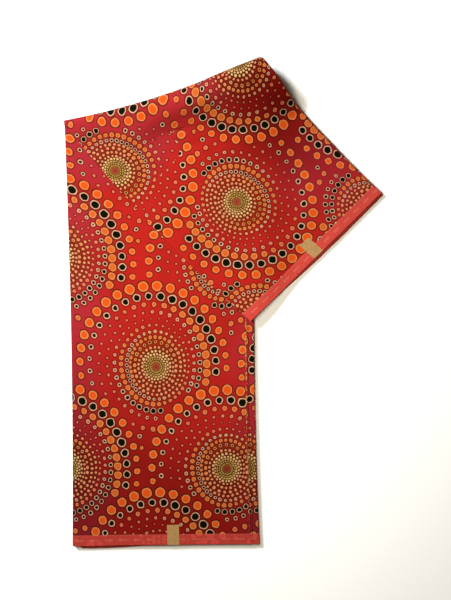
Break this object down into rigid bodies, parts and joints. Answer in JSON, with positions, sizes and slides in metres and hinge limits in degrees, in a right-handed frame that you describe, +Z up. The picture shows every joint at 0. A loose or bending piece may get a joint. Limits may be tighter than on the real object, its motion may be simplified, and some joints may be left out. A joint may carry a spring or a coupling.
{
  "type": "folded printed cotton cloth",
  "caption": "A length of wax-print cotton folded into a long layered strip that lies flat, its far end bent over on the slant in a soft raised crease.",
  "frame": {"origin": "middle of the whole outline, on the surface that the cloth lies on", "axes": "+Y up the leg of the strip from its hem towards the crease, +X towards the side that the flap is folded to, +Z up from the surface"},
  "size_m": [0.548, 0.8348, 0.0516],
  "materials": {
    "printed_cotton": "wax-printed cotton, slightly glazed",
    "cloth_edges": "folded and cut edges of the same cotton",
    "label": "bare gold foil sticker, satin"
  },
  "bodies": {
    "root": {"hidden_layers": "cloth_edges", "front_panel": "printed_cotton", "flap_panel": "printed_cotton", "front_label": "label", "flap_label": "label"}
  },
  "joints": []
}
